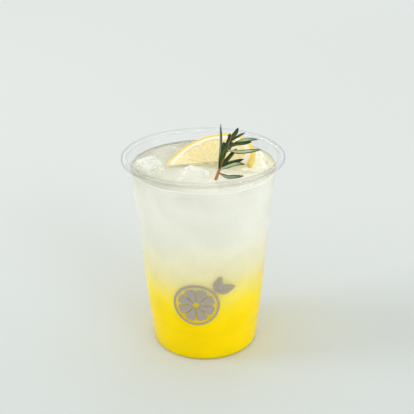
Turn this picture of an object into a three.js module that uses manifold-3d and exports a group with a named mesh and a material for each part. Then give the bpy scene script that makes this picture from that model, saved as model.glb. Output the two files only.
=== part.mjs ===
// Yuzu soda in a clear disposable cup: a pale soda over a yellow syrup, four pieces of ice at
// the surface, half a slice of yellow citrus resting on them and a sprig of rosemary.
// Millimetres, +Z up. The origin is the middle of the foot, and the front of the cup faces -Y.

import * as THREE from 'three';
import { mergeVertices } from 'three/addons/utils/BufferGeometryUtils.js';
import { RoundedBoxGeometry } from 'three/addons/geometries/RoundedBoxGeometry.js';
import Module from 'manifold-3d';

// Driving dimensions

const clearance = 0.3;

const cup = {
  height: 117.2,
  rimRadius: 46,
  sheet: 0.7,
  facets: 64,
  recessRadius: 24.2,
  recessHeight: 2.4,
  footInner: 27.3,
  footOuter: 28.7,
  cornerRadius: 2.5,
  bandRadius: 32.4,
  stepBottom: 17.5,
  stepTop: 19.2,
  shoulderRadius: 33.05,
  brimRadius: 41.4,
  brimHeight: 111.6,
  curlWidth: 4.2,
  curlHeight: 2.6,
  curlEnd: -100,
};

const drink = {
  level: 110.2,
  syrupTop: 48,
};

const slice = {
  radius: 26,
  thickness: 3.2,
  bevel: 0.5,
  rind: 2,
  pith: 3,
  cutFrom: -32,
  cutTo: 168,
  cutHollow: 4.4,
  segments: 5,
  membrane: 0.9,
  pocketDepth: 0.4,
  centre: [3.6, 0.9, 112],
  leanBack: 13.9,
  leanRight: 17,
};

// Rounding of a segment of flesh at its outer end, as shares of its length and half angle
const segmentEnd = { cornerAt: 0.9, flatShare: 0.75, bulge: 1.01 };

const sprig = {
  foot: [6.9, -21, drink.level],
  direction: [0.35, 0.49, 0.8],
  visibleLength: 25.6,
  sunkLength: 1,
  stemRadius: 0.85,
  needleWidth: 2.3,
  needleThickness: 0.85,
};

// Form of every needle: widths and the place of the widest point as shares, the side wave in mm
const needleForm = {
  baseWidth: 0.35,
  swellRate: 2.2,
  widestAt: 0.55,
  tipWidth: 0.16,
  leastThickness: 0.4,
  wave: 0.25,
  waveTurn: 7,
};

// Needles: height on the stem and length in mm, then lean from the stem, turn round it and roll
// about the needle's own length in degrees, and bow as a share of the length. A turn of 0 points
// to the right of the cup and 90 to its back.
const needles = [
  { at: 3.8, length: 15.5, lean: 84, turn: -28, roll: -40, bow: -0.10 },
  { at: 4.3, length: 26, lean: 28, turn: -125, roll: -18, bow: 0.03 },
  { at: 5.0, length: 16, lean: 28, turn: -104, roll: -112, bow: -0.04 },
  { at: 5.1, length: 16, lean: 21, turn: 27, roll: 58, bow: 0.04 },
  { at: 5.6, length: 14.5, lean: 63, turn: -20, roll: -60, bow: 0.08 },
  { at: 6.4, length: 14, lean: 50, turn: 3, roll: 76, bow: 0.05 },
  { at: 9.7, length: 16.5, lean: 19, turn: -102, roll: -125, bow: 0.03 },
  { at: 11.5, length: 12, lean: 30, turn: 120, roll: -33, bow: 0.05 },
  { at: 14.5, length: 11, lean: 34, turn: 75, roll: 23, bow: 0.06 },
  { at: 17.4, length: 18.5, lean: 71, turn: -5, roll: -100, bow: -0.08 },
  { at: 18.4, length: 18.5, lean: 53, turn: 19, roll: -110, bow: 0.06 },
  { at: 18.8, length: 14, lean: 58, turn: 9, roll: 70, bow: 0.05 },
  { at: 21.0, length: 12, lean: 39, turn: 32, roll: 16, bow: 0.06 },
  { at: 21.7, length: 9.5, lean: 14, turn: 14, roll: 72, bow: 0.02 },
  { at: 22.5, length: 4, lean: 22, turn: 150, roll: -62, bow: 0.05 },
];

// Ice that breaks the surface: width, depth and height, then where its middle lies and how it
// is turned, as a yaw and two small leans in degrees.
const iceCorner = 3;
const iceMelt = { taper: 0.1, skew: 0.05, squeeze: 0.98 };
const iceBlocks = [
  { name: 'ice_left', size: [14, 13.5, 18], centre: [-30, 1, 104.6], yaw: 32, lean: [4, -5] },
  { name: 'ice_back', size: [12.5, 16, 16], centre: [-20.6, 22.4, 103.6], yaw: 132, lean: [-5, 3] },
  { name: 'ice_right', size: [15, 18, 12], centre: [28.8, 3.4, 106.9], yaw: 0, lean: [12, -16] },
  { name: 'ice_front', size: [15, 14, 17], centre: [-5.4, -14.6, 105], yaw: -27, lean: [3, 4] },
];

// Colours

const clearPlastic = new THREE.MeshStandardMaterial({
  color: '#eef3f1', roughness: 0.1, transparent: true, opacity: 0.3,
});
const paleSoda = new THREE.MeshStandardMaterial({
  color: '#e6e9d6', roughness: 0.2, transparent: true, opacity: 0.85,
});
const yellowSyrup = new THREE.MeshStandardMaterial({
  color: '#f5da14', roughness: 0.2, transparent: true, opacity: 0.9,
});
const clearIce = new THREE.MeshStandardMaterial({
  color: '#eef2ee', roughness: 0.15, transparent: true, opacity: 0.6,
});
const citrusPeel = new THREE.MeshStandardMaterial({ color: '#f3d957', roughness: 0.5 });
const rosemaryGreen = new THREE.MeshStandardMaterial({ color: '#3f5a2c', roughness: 0.6 });

const rad = THREE.MathUtils.degToRad;

// Closed solids for joining and cutting

const wasm = await Module();
wasm.setup();

function welded(geometry) {
  geometry.deleteAttribute('normal');
  geometry.deleteAttribute('uv');
  const merged = mergeVertices(geometry, 1e-4);
  const corners = merged.index.array;
  const kept = [];
  for (let i = 0; i < corners.length; i += 3) {
    const [a, b, c] = [corners[i], corners[i + 1], corners[i + 2]];
    if (a !== b && b !== c && c !== a) kept.push(a, b, c);
  }
  merged.setIndex(kept);
  return merged;
}

// Positive where the faces point out
function signedVolume(geometry) {
  const point = geometry.attributes.position;
  const corners = geometry.index.array;
  const [a, b, c] = [new THREE.Vector3(), new THREE.Vector3(), new THREE.Vector3()];
  let volume = 0;
  for (let i = 0; i < corners.length; i += 3) {
    a.fromBufferAttribute(point, corners[i]);
    b.fromBufferAttribute(point, corners[i + 1]);
    c.fromBufferAttribute(point, corners[i + 2]);
    volume += a.dot(b.cross(c)) / 6;
  }
  return volume;
}

function facingOut(geometry) {
  if (signedVolume(geometry) > 0) return geometry;
  const corners = Array.from(geometry.index.array);
  for (let i = 0; i < corners.length; i += 3) {
    [corners[i], corners[i + 1]] = [corners[i + 1], corners[i]];
  }
  geometry.setIndex(corners);
  return geometry;
}

function closedBody(geometry) {
  return facingOut(welded(geometry));
}

function toSolid(geometry, matrix = new THREE.Matrix4()) {
  const body = closedBody(geometry.clone().applyMatrix4(matrix));
  return new wasm.Manifold(new wasm.Mesh({
    numProp: 3,
    vertProperties: new Float32Array(body.attributes.position.array),
    triVerts: new Uint32Array(body.index.array),
  }));
}

function toGeometry(solid) {
  const mesh = solid.getMesh();
  const geometry = new THREE.BufferGeometry();
  geometry.setAttribute('position', new THREE.BufferAttribute(mesh.vertProperties, 3));
  geometry.setIndex(new THREE.BufferAttribute(mesh.triVerts, 1));
  geometry.computeVertexNormals();
  return geometry;
}

function namedMesh(name, geometry, material) {
  const mesh = new THREE.Mesh(geometry, material.clone());
  mesh.name = name;
  return mesh;
}

// Turned shapes: an outline of radius and height swept round the Z axis

function turned(outline) {
  const points = outline.map(([r, z]) => new THREE.Vector2(r, z));
  return new THREE.LatheGeometry(points, cup.facets).rotateX(Math.PI / 2);
}

function arc(centreR, centreZ, halfWidth, halfHeight, from, to, steps) {
  const points = [];
  for (let i = 0; i <= steps; i += 1) {
    const angle = rad(from + ((to - from) * i) / steps);
    points.push([centreR + halfWidth * Math.cos(angle), centreZ + halfHeight * Math.sin(angle)]);
  }
  return points;
}

// The outline moved sideways by a distance, towards the inside of the cup
function movedIn(outline, distance) {
  return outline.map(([r, z], i) => {
    const [beforeR, beforeZ] = outline[Math.max(i - 1, 0)];
    const [afterR, afterZ] = outline[Math.min(i + 1, outline.length - 1)];
    const run = new THREE.Vector2(afterR - beforeR, afterZ - beforeZ).normalize();
    return [r === 0 ? 0 : r - run.y * distance, z + run.x * distance];
  });
}

// Cup: the outer face of one formed sheet, from the middle of the raised bottom, over the foot
// ring and up the wall with its stacking step

function wallOutline() {
  const cornerCentre = cup.cornerRadius;
  return [
    [0, cup.recessHeight],
    [cup.recessRadius, cup.recessHeight],
    [cup.recessRadius + 1, cup.recessHeight - 0.5],
    [cup.footInner - 0.6, 0.3],
    [cup.footInner, 0],
    ...arc(cup.footOuter, cornerCentre, cup.cornerRadius, cup.cornerRadius, -90, -8, 3),
    [cup.bandRadius, cup.stepBottom],
    [cup.shoulderRadius, cup.stepTop],
    [cup.brimRadius, cup.brimHeight],
  ];
}

// The sheet flares under the rim and rolls outwards and down into a hollow bead
function curlOutline() {
  const halfWidth = cup.curlWidth / 2;
  const halfHeight = cup.curlHeight / 2;
  const centreR = cup.rimRadius - halfWidth;
  const centreZ = cup.height - halfHeight;
  const inner = [halfWidth - cup.sheet, halfHeight - cup.sheet];
  return arc(centreR, centreZ, inner[0], inner[1], 180, cup.curlEnd, 8);
}

function makeCup() {
  const outer = [...wallOutline(), ...curlOutline()];
  const inner = movedIn(outer, cup.sheet);
  return namedMesh('cup', closedBody(turned([...outer, ...inner.reverse()])), clearPlastic);
}

// Drink: fills the cup to the level, in two layers, a hair clear of the wall

const drinkOutline = movedIn(wallOutline(), cup.sheet + clearance);

function drinkRadius(height) {
  const wall = drinkOutline.filter(([r]) => r > cup.footOuter);
  for (let i = 1; i < wall.length; i += 1) {
    const [lowR, lowZ] = wall[i - 1];
    const [highR, highZ] = wall[i];
    if (height <= highZ) return THREE.MathUtils.mapLinear(height, lowZ, highZ, lowR, highR);
  }
  throw new Error(`no wall at ${height}`);
}

function syrupLayer() {
  const floorAndWall = drinkOutline.filter(([, z]) => z < drink.syrupTop);
  const top = drink.syrupTop;
  return turned([...floorAndWall, [drinkRadius(top), top], [0, top]]);
}

function sodaLayer() {
  const bottom = drink.syrupTop + clearance;
  const top = drink.level;
  return turned([[0, bottom], [drinkRadius(bottom), bottom], [drinkRadius(top), top], [0, top]]);
}

// Ice: a rounded block with melted, slightly hollow sides

function meltedBlock([width, depth, height], grow = 0) {
  const block = new RoundedBoxGeometry(
    width + 2 * grow, depth + 2 * grow, height + 2 * grow, 2, iceCorner + grow,
  );
  const point = block.attributes.position;
  for (let i = 0; i < point.count; i += 1) {
    const across = point.getX(i) / width;
    const along = point.getY(i) / depth;
    const up = point.getZ(i) / height;
    const taper = 1 - iceMelt.taper * up + iceMelt.skew * across * along;
    point.setX(i, point.getX(i) * taper);
    point.setY(i, point.getY(i) * (2 - taper) * iceMelt.squeeze);
  }
  return block;
}

function placedIce(block, grow = 0) {
  const mesh = namedMesh(block.name, closedBody(meltedBlock(block.size, grow)), clearIce);
  mesh.position.set(...block.centre);
  mesh.rotation.set(rad(block.lean[0]), rad(block.lean[1]), rad(block.yaw));
  mesh.updateMatrixWorld();
  return mesh;
}

// Citrus: half a round slice, cut a little past its middle, with the flesh of each segment a
// little lower than the rind, pith and membranes. Its upper face is at the local Z of 0.

function halfOutline(radius, grow) {
  const middleAngle = rad((slice.cutFrom + slice.cutTo) / 2);
  const pastMiddle = -slice.radius * Math.cos(rad(slice.cutTo - slice.cutFrom) / 2) + 1.5 * grow;
  const halfAngle = Math.acos(-pastMiddle / radius);
  const end = (side) => new THREE.Vector2(radius, 0)
    .rotateAround(new THREE.Vector2(), middleAngle + side * halfAngle);
  const start = end(-1);
  const inward = new THREE.Vector2(Math.cos(middleAngle), Math.sin(middleAngle));
  const bend = start.clone().add(end(1)).multiplyScalar(0.5).addScaledVector(inward, 2 * slice.cutHollow);
  const outline = new THREE.Shape();
  outline.absarc(0, 0, radius, middleAngle - halfAngle, middleAngle + halfAngle, false);
  outline.quadraticCurveTo(bend.x, bend.y, start.x, start.y);
  return outline;
}

function halfDisc(grow = 0) {
  const depth = slice.thickness + 2 * grow - 2 * slice.bevel;
  const outline = halfOutline(slice.radius + grow - slice.bevel, grow);
  const disc = new THREE.ExtrudeGeometry(outline, {
    depth,
    curveSegments: 40,
    bevelSize: slice.bevel,
    bevelThickness: slice.bevel,
    bevelSegments: 1,
  });
  return disc.translate(0, 0, grow - slice.bevel - depth);
}

// One segment of flesh, as a wedge with a rounded outer end
function segmentOutline(from, to) {
  const outer = slice.radius - slice.rind - slice.pith;
  const middle = (from + to) / 2;
  const halfAngle = (to - from) / 2 - slice.membrane / outer;
  const point = (angle, radius) => [Math.cos(angle) * radius, Math.sin(angle) * radius];
  const core = slice.membrane / 2 / Math.sin(halfAngle);
  const flatAngle = halfAngle * segmentEnd.flatShare;
  const corner = outer * segmentEnd.cornerAt;
  const outline = new THREE.Shape();
  outline.moveTo(...point(middle, core));
  outline.lineTo(...point(middle - halfAngle, corner));
  outline.quadraticCurveTo(...point(middle - halfAngle, outer), ...point(middle - flatAngle, outer));
  outline.lineTo(...point(middle, outer * segmentEnd.bulge));
  outline.lineTo(...point(middle + flatAngle, outer));
  outline.quadraticCurveTo(...point(middle + halfAngle, outer), ...point(middle + halfAngle, corner));
  return outline;
}

function makeSlice() {
  const step = rad(slice.cutTo - slice.cutFrom) / slice.segments;
  let body = toSolid(halfDisc());
  for (let i = 0; i < slice.segments; i += 1) {
    const from = rad(slice.cutFrom) + i * step;
    const wedge = new THREE.ExtrudeGeometry(segmentOutline(from, from + step), {
      depth: 2 * slice.pocketDepth, curveSegments: 3, bevelEnabled: false,
    });
    for (const face of [0, -slice.thickness]) {
      const pocket = new THREE.Matrix4().makeTranslation(0, 0, face - slice.pocketDepth);
      body = body.subtract(toSolid(wedge, pocket));
    }
  }
  return namedMesh('citrus_slice', toGeometry(body), citrusPeel);
}

// Rosemary: a stem pushed between the ice, and needles that lean out of it

const stemAxis = new THREE.Vector3(...sprig.direction).normalize();
const stemSide = new THREE.Vector3(1, 0, 0).projectOnPlane(stemAxis).normalize();
const stemBack = new THREE.Vector3().crossVectors(stemAxis, stemSide);
const foot = new THREE.Vector3(...sprig.foot);

function stemPoint(along) {
  return foot.clone().addScaledVector(stemAxis, along);
}

function stemSolid(grow = 0) {
  const length = sprig.visibleLength + sprig.sunkLength + 2 * grow;
  const stem = new THREE.CylinderGeometry(
    sprig.stemRadius * 0.6 + grow, sprig.stemRadius + grow, length, 8, 1,
  );
  const turn = new THREE.Quaternion().setFromUnitVectors(new THREE.Vector3(0, 1, 0), stemAxis);
  const middle = stemPoint((sprig.visibleLength - sprig.sunkLength) / 2);
  return toSolid(stem, new THREE.Matrix4().compose(middle, turn, new THREE.Vector3(1, 1, 1)));
}

// Half width of a needle from its base at 0 to its tip at 1
function needleProfile(t) {
  const { baseWidth, swellRate, widestAt, tipWidth } = needleForm;
  const swell = Math.min(1, baseWidth + swellRate * t);
  if (t < widestAt) return swell;
  const pastWidest = (t - widestAt) / (1 - widestAt);
  return Math.max(tipWidth, swell * Math.sqrt(Math.max(0, 1 - pastWidest ** 2)));
}

function needleSolid(needle, grow = 0) {
  const turn = rad(needle.turn);
  const lean = rad(needle.lean);
  const out = stemSide.clone().multiplyScalar(Math.cos(turn));
  out.addScaledVector(stemBack, Math.sin(turn));
  const along = stemAxis.clone().multiplyScalar(Math.cos(lean)).addScaledVector(out, Math.sin(lean));
  const bowWay = stemAxis.clone().projectOnPlane(along).normalize();
  const upper = bowWay.clone().applyAxisAngle(along, rad(needle.roll));
  const across = new THREE.Vector3().crossVectors(upper, along);
  const base = stemPoint(needle.at);
  const leaf = new THREE.CylinderGeometry(1, 1, 1, 6, 7);
  const point = leaf.attributes.position;
  const halfWidth = sprig.needleWidth / 2;
  const halfThickness = sprig.needleThickness / 2;
  for (let i = 0; i < point.count; i += 1) {
    const t = point.getY(i) + 0.5;
    const width = halfWidth * needleProfile(t) + grow;
    const thickness = halfThickness * Math.max(needleProfile(t), needleForm.leastThickness) + grow;
    const bow = needle.bow * needle.length * 4 * t * (1 - t);
    const wave = needleForm.wave * Math.sin(needleForm.waveTurn * t + turn);
    const place = base.clone()
      .addScaledVector(along, t * needle.length)
      .addScaledVector(bowWay, bow)
      .addScaledVector(upper, point.getZ(i) * thickness)
      .addScaledVector(across, wave + point.getX(i) * width);
    point.setXYZ(i, place.x, place.y, place.z);
  }
  return toSolid(leaf);
}

function sprigSolid(grow = 0) {
  return needles.reduce((body, needle) => body.add(needleSolid(needle, grow)), stemSolid(grow));
}

// Assembly

const citrus = makeSlice();
citrus.position.set(...slice.centre);
citrus.rotation.set(rad(slice.leanBack), -rad(slice.leanRight), 0, 'YXZ');
citrus.updateMatrixWorld();

const ice = iceBlocks.map((block) => placedIce(block));

let soda = toSolid(sodaLayer());
for (const block of iceBlocks) {
  const room = placedIce(block, clearance);
  soda = soda.subtract(toSolid(room.geometry, room.matrixWorld));
}
soda = soda.subtract(toSolid(halfDisc(clearance), citrus.matrixWorld));
soda = soda.subtract(sprigSolid(clearance));

const glassOfSoda = new THREE.Group();
glassOfSoda.name = 'yuzu_soda';
glassOfSoda.add(
  makeCup(),
  namedMesh('syrup', closedBody(syrupLayer()), yellowSyrup),
  namedMesh('soda', toGeometry(soda), paleSoda),
  ...ice,
  citrus,
  namedMesh('rosemary_sprig', toGeometry(sprigSolid()), rosemaryGreen),
);

export default glassOfSoda;
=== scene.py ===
"""A cup of yuzu soda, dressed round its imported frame: the clear cup, the layered drink with its ice,
the half slice of citrus and the sprig of rosemary. Lengths are in metres, +Z up."""

import math
import random

import bmesh
import bpy
from mathutils import Matrix, Vector, noise


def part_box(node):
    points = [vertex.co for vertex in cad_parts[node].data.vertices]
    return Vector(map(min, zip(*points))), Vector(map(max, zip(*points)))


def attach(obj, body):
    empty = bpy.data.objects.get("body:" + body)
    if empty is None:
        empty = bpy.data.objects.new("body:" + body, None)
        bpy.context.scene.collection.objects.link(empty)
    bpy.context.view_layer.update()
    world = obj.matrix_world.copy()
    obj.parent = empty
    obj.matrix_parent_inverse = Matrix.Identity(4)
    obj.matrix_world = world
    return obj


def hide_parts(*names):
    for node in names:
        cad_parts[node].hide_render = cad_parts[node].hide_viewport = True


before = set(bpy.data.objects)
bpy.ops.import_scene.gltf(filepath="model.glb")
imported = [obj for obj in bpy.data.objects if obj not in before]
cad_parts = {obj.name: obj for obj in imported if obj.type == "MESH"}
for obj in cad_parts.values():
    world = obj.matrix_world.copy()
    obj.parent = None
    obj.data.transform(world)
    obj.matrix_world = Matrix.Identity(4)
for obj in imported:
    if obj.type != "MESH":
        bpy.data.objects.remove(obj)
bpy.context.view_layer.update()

bl_info = {
    "name": "Cup of yuzu soda",
    "version": (1, 0, 0),
    "blender": (4, 5, 0),
    "location": "View3D > Sidebar > Yuzu soda",
    "description": "Builds a clear cup of layered citrus soda with ice, citrus and rosemary",
    "category": "Add Mesh",
}

MM = 0.001
CUP_HIGH = Vector(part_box("cup")[1])
SODA_HIGH = Vector(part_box("soda")[1])

# Steps round the axis in what is turned

ROUND = 192


def linear(code):
    """Linear red, green, blue and alpha of an sRGB hex colour."""
    parts = [int(code[i:i + 2], 16) / 255 for i in (1, 3, 5)]
    return tuple(p / 12.92 if p <= 0.04045 else ((p + 0.055) / 1.055) ** 2.4 for p in parts) + (1.0,)


def length(name, description, default):
    """A property that holds a length in metres."""
    return bpy.props.FloatProperty(
        name=name, description=description, default=default, unit="LENGTH", precision=5
    )


def angle(name, description, degrees):
    """A property that holds an angle."""
    return bpy.props.FloatProperty(
        name=name, description=description, default=math.radians(degrees), unit="ROTATION"
    )


def spot(name, description, default):
    """A property that holds a place in metres."""
    return bpy.props.FloatVectorProperty(
        name=name, description=description, default=default, size=3, unit="LENGTH", precision=5
    )


def colour(name, description, code):
    """A property that holds a colour, given as sRGB hex."""
    return bpy.props.FloatVectorProperty(
        name=name, description=description, default=linear(code), size=4, min=0, max=1, subtype="COLOR"
    )


class CupSizes(bpy.types.PropertyGroup):
    """The formed sheet of the cup and the sign printed on it."""

    height: length("Height", "From the foot to the top of the rim", CUP_HIGH.z)
    rim_radius: length("Rim radius", "To the outside of the rolled rim", CUP_HIGH.x)
    sheet: length("Sheet", "Thickness of the formed sheet", 0.7 * MM)
    recess_radius: length("Recess radius", "Flat of the raised bottom", 24.2 * MM)
    recess_height: length("Recess height", "How far the bottom is raised", 2.4 * MM)
    foot_inner: length("Foot inner radius", "Inner edge of the foot ring", 27.3 * MM)
    foot_outer: length("Foot outer radius", "Outer edge of the foot ring's flat", 28.7 * MM)
    corner: length("Corner", "Radius between the foot and the wall", 2.5 * MM)
    band_radius: length("Band radius", "Wall just below the stacking step", 32.4 * MM)
    step_bottom: length("Step bottom", "Height where the stacking step starts", 17.5 * MM)
    step_top: length("Step top", "Height where the stacking step ends", 19.2 * MM)
    shoulder_radius: length("Shoulder radius", "Wall just above the stacking step", 33.05 * MM)
    brim_radius: length("Brim radius", "Wall where it starts to flare", 41.4 * MM)
    brim_height: length("Brim height", "Height where the wall starts to flare", 111.6 * MM)
    curl_width: length("Curl width", "Width of the rolled rim", 4.2 * MM)
    curl_height: length("Curl height", "Height of the rolled rim", 2.6 * MM)
    plastic: colour("Plastic", "Tint of the clear sheet", "#FBFDFC")
    ink: colour("Ink", "Printed sign", "#9C9388")
    sign_radius: length("Sign radius", "Radius of the printed citrus wheel", 13.5 * MM)
    sign_place: length("Sign place", "How far the wheel lies left of the front's middle", 5 * MM)
    sign_height: length("Sign height", "Height of the middle of the wheel", 39.0 * MM)


class DrinkSizes(bpy.types.PropertyGroup):
    """The drink, from its syrup at the bottom to the pale soda at the top."""

    level: length("Level", "Height of the surface", SODA_HIGH.z)
    into_wall: length("Into the wall", "How far the drink reaches into the sheet", 0.45 * MM)
    meniscus: length("Meniscus", "How far the drink climbs the wall", 0.4 * MM)
    clear_depth: length("Clear depth", "How deep one sees through the surface", 8 * MM)
    syrup: colour("Syrup", "At the bottom", "#F1D000")
    blend: colour("Blend", "Where syrup and soda mix", "#E5DA9B")
    # Painted shade: the soda colour, which the drink takes just under its surface, is darkened to grey
    # there.
    soda: colour("Soda", "At the top", "#CBCBC4")


class IceSizes(bpy.types.PropertyGroup):
    """The ice at the surface and under it."""

    corner: length("Corner", "Rounding of the melted corners", 3.0 * MM)
    waves: length("Waves", "Depth of the melted dents", 0.35 * MM)
    tint: colour("Tint", "Clear wet ice", "#FBFCFA")


class CitrusSizes(bpy.types.PropertyGroup):
    """Half a round slice of yellow citrus."""

    radius: length("Radius", "To the outside of the rind", 26 * MM)
    thickness: length("Thickness", "Of the slice", 3.2 * MM)
    rind: length("Rind", "Width of the yellow skin", 1.9 * MM)
    pith: length("Pith", "Width of the white under the skin", 2.9 * MM)
    membrane: length("Membrane", "Width of the walls between the segments", 0.8 * MM)
    cut_hollow: length("Cut hollow", "How far the cut edge curves in", 4.4 * MM)
    cut_from: angle("Cut from", "Where the rim starts, round the slice", -32)
    cut_to: angle("Cut to", "Where the rim ends, round the slice", 168)
    lean_back: angle("Lean back", "How far the back of the slice is raised", 13.9)
    lean_right: angle("Lean right", "How far the right of the slice is raised", 17)
    centre: spot("Centre", "Middle of the slice's upper face", (3.6 * MM, 0.9 * MM, 112 * MM))
    rind_colour: colour("Rind colour", "Oily yellow skin", "#DABE2A")
    pith_colour: colour("Pith colour", "White under the skin", "#E1D9C5")
    flesh_colour: colour("Flesh colour", "Wet pale yellow flesh", "#D8C67C")


class SprigSizes(bpy.types.PropertyGroup):
    """The sprig of rosemary."""

    foot: spot("Foot", "Where the stem meets the drink", (6.9 * MM, -21 * MM, SODA_HIGH.z))
    direction: bpy.props.FloatVectorProperty(
        name="Direction", description="The way the stem leans", size=3, default=(0.35, 0.49, 0.8),
    )
    visible: length("Visible length", "Stem above the drink", 25.6 * MM)
    sunk: length("Sunk length", "Stem in the drink", 1 * MM)
    stem_radius: length("Stem radius", "At its foot", 0.85 * MM)
    needle_width: length("Needle width", "Of a needle at its widest", 2.3 * MM)
    needle_thickness: length("Needle thickness", "Of a needle", 0.85 * MM)
    green: colour("Green", "Upper face of a needle", "#50701C")
    pale: colour("Pale", "Felted underside of a needle", "#B9C6A4")
    bark: colour("Bark", "Young woody stem", "#B8741E")


class YuzuSodaSettings(bpy.types.PropertyGroup):
    """Every size and colour of the cup of soda."""

    cup: bpy.props.PointerProperty(type=CupSizes)
    drink: bpy.props.PointerProperty(type=DrinkSizes)
    ice: bpy.props.PointerProperty(type=IceSizes)
    citrus: bpy.props.PointerProperty(type=CitrusSizes)
    sprig: bpy.props.PointerProperty(type=SprigSizes)


# Ice at the surface, where the frame's solids lie: its node, size, middle, yaw, two leans in degrees,
# and the share of white cloud in it, which is partly trapped air and partly painted light, most on the
# right block

SURFACE_ICE = (
    ("ice_left", (14, 13.5, 18), (-30, 1, 104.6), 32, (4, -5), 0.4),
    ("ice_back", (12.5, 16, 16), (-20.6, 22.4, 103.6), 132, (-5, 3), 0.3),
    ("ice_right", (15, 18, 12), (28.8, 3.4, 106.9), 0, (12, -16), 0.6),
    ("ice_front", (15, 14, 17), (-5.4, -14.6, 105), -27, (3, 4), 0.15),
)

# Ice wholly under the surface: size, middle, yaw and two leans

SUNK_ICE = (
    ((17, 16, 18), (-19, -14, 84), 25, (10, -14)),
    ((17, 17, 16), (-1, -22, 73), -30, (-16, 12)),
    ((16, 17, 17), (18, -13, 86), 12, (14, 10)),
    ((16, 15, 17), (17, -10, 62), 40, (-12, 16)),
    ((15, 16, 16), (-14, -14, 60), 15, (20, 8)),
    ((17, 17, 16), (1, 4, 80), 50, (8, -10)),
    ((16, 17, 17), (-14, 16, 70), 5, (-10, 12)),
    ((17, 16, 17), (16, 16, 72), -20, (12, -8)),
)

# Needles of the sprig: height on the stem and length in mm, lean from the stem, turn round it and
# roll about the needle's own length in degrees, bow as a share of the length, and how felted its
# underside is

NEEDLES = (
    (3.8, 15.5, 84, -28, -40, -0.10, 0.6),
    (4.3, 26, 28, -125, -18, 0.03, 0.35),
    (5.0, 16, 28, -104, -112, -0.04, 1),
    (5.1, 16, 21, 27, 58, 0.04, 1),
    (5.6, 14.5, 63, -20, -60, 0.08, 1),
    (6.4, 14, 50, 3, 76, 0.05, 1),
    (9.7, 16.5, 19, -102, -125, 0.03, 1),
    (11.5, 12, 30, 120, -33, 0.05, 1),
    (14.5, 11, 34, 75, 23, 0.06, 1),
    (17.4, 18.5, 71, -5, -100, -0.08, 1),
    (18.4, 18.5, 53, 19, -110, 0.06, 1),
    (18.8, 14, 58, 9, 70, 0.05, 1),
    (21.0, 12, 39, 32, 16, 0.06, 1),
    (21.7, 9.5, 14, 14, 72, 0.02, 1),
    (22.5, 4, 22, 150, -62, 0.05, 1),
)

# Juice sacs: how long they are, and how many there are to a radian round the slice

SAC_LENGTH = 5 * MM
SACS_ROUND = 9.0

# What floats on the drink: the seed of its places and how many there are, of the bubbles also how
# many lie along the wall

FLOATING_SEED = 11
PULP_BITS = 16
BUBBLES = 130
WALL_BUBBLES = 90

# Softboxes: name, place and target in metres, side in metres, power in watts, and whether gloss
# mirrors them

SOFTBOXES = (
    ("key_softbox", (-1.95, -0.12, 1.25), (0, 0, 0.05), 0.8, 19.0, True),
    ("right_fill", (2.0, -2.85, 1.1), (0, 0, 0.06), 1.7, 56.0, True),
    ("back_panel", (0.5, 1.9, 0.87), (0, 0, 0.11), 0.5, 3.2, False),
)

# Camera: what it looks at, how far off and how high it stands, its roll, and its lens in mm

CAMERA_TARGET = Vector((1.87 * MM, 0, 84.2 * MM))
CAMERA_DISTANCE = 514.8 * MM
CAMERA_ELEVATION = math.radians(24.1)
CAMERA_ROLL = math.radians(-0.73)
CAMERA_LENS = 77.7


# Meshes and materials


def add_node(tree, kind, inputs=None, **settings):
    """A node with its settings; each input is a value, or a socket to link from."""
    node = tree.nodes.new(kind)
    for name, value in settings.items():
        setattr(node, name, value)
    for name, value in (inputs or {}).items():
        if isinstance(value, bpy.types.NodeSocket):
            tree.links.new(value, node.inputs[name])
        else:
            node.inputs[name].default_value = value
    return node


def new_material(name):
    """An empty material and its node tree."""
    material = bpy.data.materials.new(name)
    material.use_nodes = True
    material.node_tree.nodes.clear()
    return material, material.node_tree


def finish_material(tree, shader, shadow_tint=None):
    """Sends the shader to the output. With a shadow tint, lamps shine through it with that colour."""
    if shadow_tint is not None:
        clear = add_node(tree, "ShaderNodeBsdfTransparent", {"Color": shadow_tint})
        path = add_node(tree, "ShaderNodeLightPath")
        shader = add_node(tree, "ShaderNodeMixShader", {
            0: path.outputs["Is Shadow Ray"], 1: shader.outputs[0], 2: clear.outputs[0],
        })
    add_node(tree, "ShaderNodeOutputMaterial", {"Surface": shader.outputs[0]})


def surfaced(material, inputs, shadow_tint=None):
    """The material, finished with one Principled shader that has these inputs."""
    tree = material.node_tree
    finish_material(tree, add_node(tree, "ShaderNodeBsdfPrincipled", inputs), shadow_tint)
    return material


def own_place(tree):
    """Where a point lies on its own piece."""
    return add_node(tree, "ShaderNodeTexCoord").outputs["Object"]


def coordinate(tree, place, axis):
    """One coordinate of a place."""
    return add_node(tree, "ShaderNodeSeparateXYZ", {"Vector": place}).outputs[axis]


def distance_out(tree, place):
    """How far a place is from its piece's origin."""
    return add_node(tree, "ShaderNodeVectorMath", {0: place}, operation="LENGTH").outputs["Value"]


def mottle(tree, place, grain, **more):
    """Noise between 0 and 1, in blotches of about this grain."""
    inputs = {"Vector": place, "Scale": 1 / grain, **more}
    return add_node(tree, "ShaderNodeTexNoise", inputs).outputs["Fac"]


def reckoned(tree, operation, *values):
    """The result of one operation on values or sockets."""
    return add_node(tree, "ShaderNodeMath", dict(enumerate(values)), operation=operation).outputs[0]


def span(tree, value, low, high, at_low=0.0, at_high=1.0, **settings):
    """Goes from at_low to at_high while the value goes from low to high."""
    inputs = {"Value": value, "From Min": low, "From Max": high, "To Min": at_low, "To Max": at_high}
    return add_node(tree, "ShaderNodeMapRange", inputs, **settings).outputs[0]


def mixed(tree, share, first, second, blend_type="MIX"):
    """The first colour, which gives way to the second as the share rises to 1."""
    inputs = {0: share, 6: first, 7: second}
    return add_node(tree, "ShaderNodeMix", inputs, data_type="RGBA", blend_type=blend_type).outputs[2]


def bumped(tree, height, strength, distance):
    """The way the surface faces, tipped by relief of this depth."""
    inputs = {"Height": height, "Strength": strength, "Distance": distance}
    return add_node(tree, "ShaderNodeBump", inputs).outputs["Normal"]


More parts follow.
